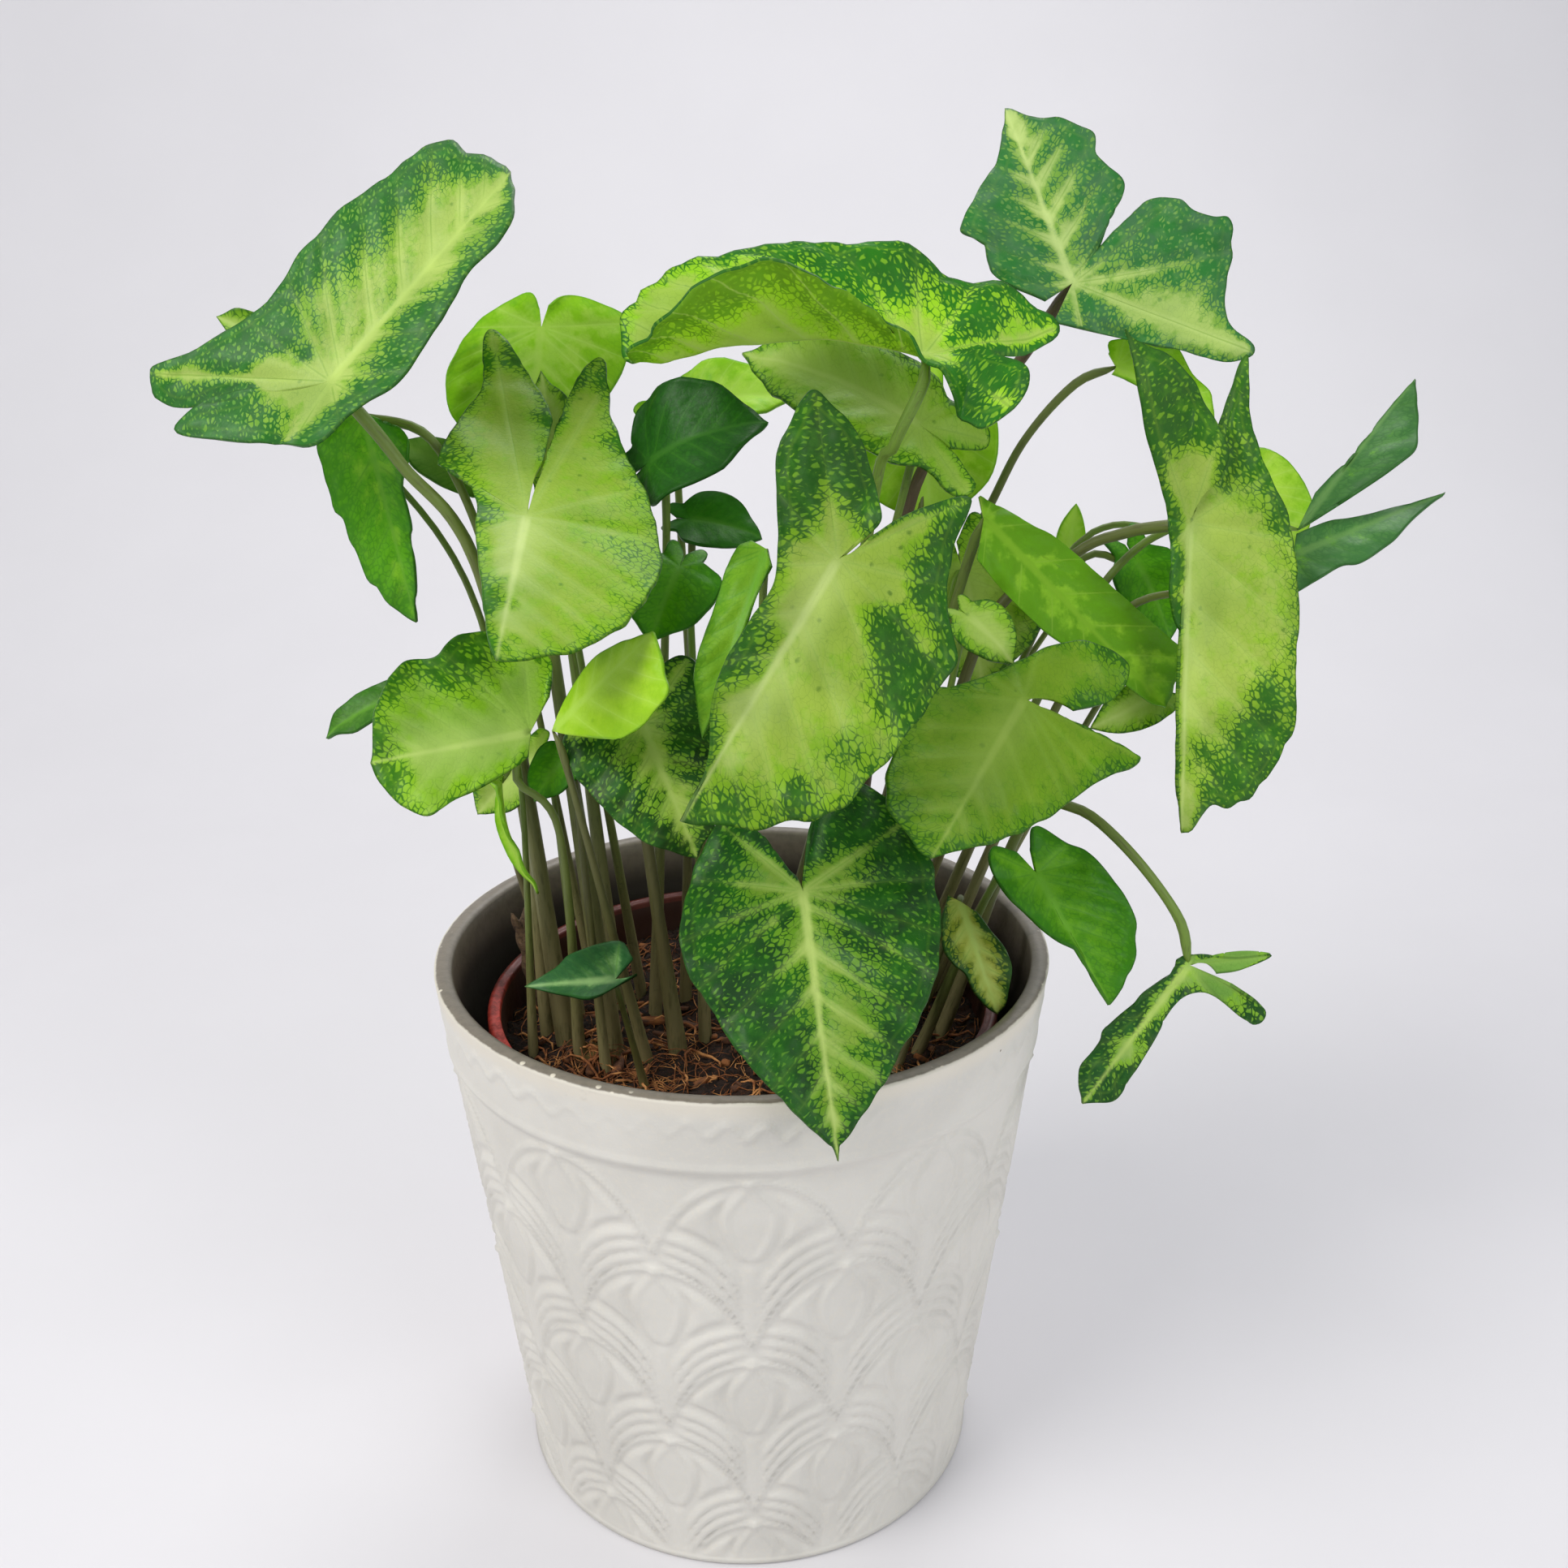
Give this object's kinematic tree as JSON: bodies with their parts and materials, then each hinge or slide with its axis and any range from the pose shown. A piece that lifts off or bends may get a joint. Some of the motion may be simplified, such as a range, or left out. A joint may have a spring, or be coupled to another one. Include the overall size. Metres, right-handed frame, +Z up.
{
  "type": "arrowhead plant",
  "caption": "Bushy arrowhead plant with mottled arrow-shaped leaves, in a plastic nursery pot inside a tapered ceramic cachepot.",
  "frame": {"origin": "centre of the cachepot's foot, on the surface it stands on", "axes": "+Z up, -Y towards the side that the picture shows, +X to its right"},
  "size_m": [0.2774, 0.1503, 0.3072],
  "materials": {
    "ceramic": "matte",
    "terracotta_plastic": "satin",
    "potting_mix": "matte",
    "dry_stem": "matte",
    "leaf_mottled": "satin",
    "leaf_pale": "satin",
    "leaf_plain": "satin",
    "leaf_bright": "satin"
  },
  "bodies": {
    "root": {"cachepot": "ceramic", "grow_pot": "terracotta_plastic", "soil": "potting_mix", "dried_stub": "dry_stem", "leaf_top_left": "leaf_mottled", "leaf_left_hanging": "leaf_plain", "leaf_back_left_round": "leaf_bright", "leaf_left_front_pale": "leaf_pale", "leaf_centre": "leaf_pale", "leaf_front_low": "leaf_mottled", "leaf_right_front": "leaf_pale", "leaf_right_hanging": "leaf_mottled", "leaf_top_right": "leaf_mottled", "leaf_top_centre": "leaf_mottled", "leaf_behind_top_centre": "leaf_pale", "leaf_bright_centre_back": "leaf_bright", "leaf_dark_centre_left": "leaf_plain", "leaf_dark_second": "leaf_plain", "leaf_bright_back": "leaf_bright", "leaf_young_left": "leaf_bright", "leaf_lower_left": "leaf_pale", "leaf_mottled_low": "leaf_mottled", "leaf_narrow_folded": "leaf_plain", "leaf_shaded_mid": "leaf_plain", "leaf_right_underside": "leaf_plain", "leaf_right_behind_pale": "leaf_pale", "leaf_right_behind_dark": "leaf_plain", "leaf_far_right_upper": "leaf_plain", "leaf_far_right_lower": "leaf_plain", "leaf_behind_right_hanging": "leaf_bright", "leaf_behind_top_right": "leaf_bright", "leaf_low_right": "leaf_plain", "leaf_pot_right": "leaf_plain", "leaf_trailing": "leaf_mottled", "leaf_on_soil": "leaf_plain", "leaf_young_rolled": "leaf_bright", "leaf_dark_round_low": "leaf_plain", "leaf_under_left": "leaf_pale", "leaf_tip_behind_left": "leaf_plain", "leaf_small_wavy_left": "leaf_plain", "leaf_grey_between": "leaf_pale", "leaf_grey_right": "leaf_pale", "leaf_tip_behind_top": "leaf_pale", "leaf_two_tips": "leaf_bright", "leaf_light_right_mid": "leaf_pale"}
  },
  "joints": []
}
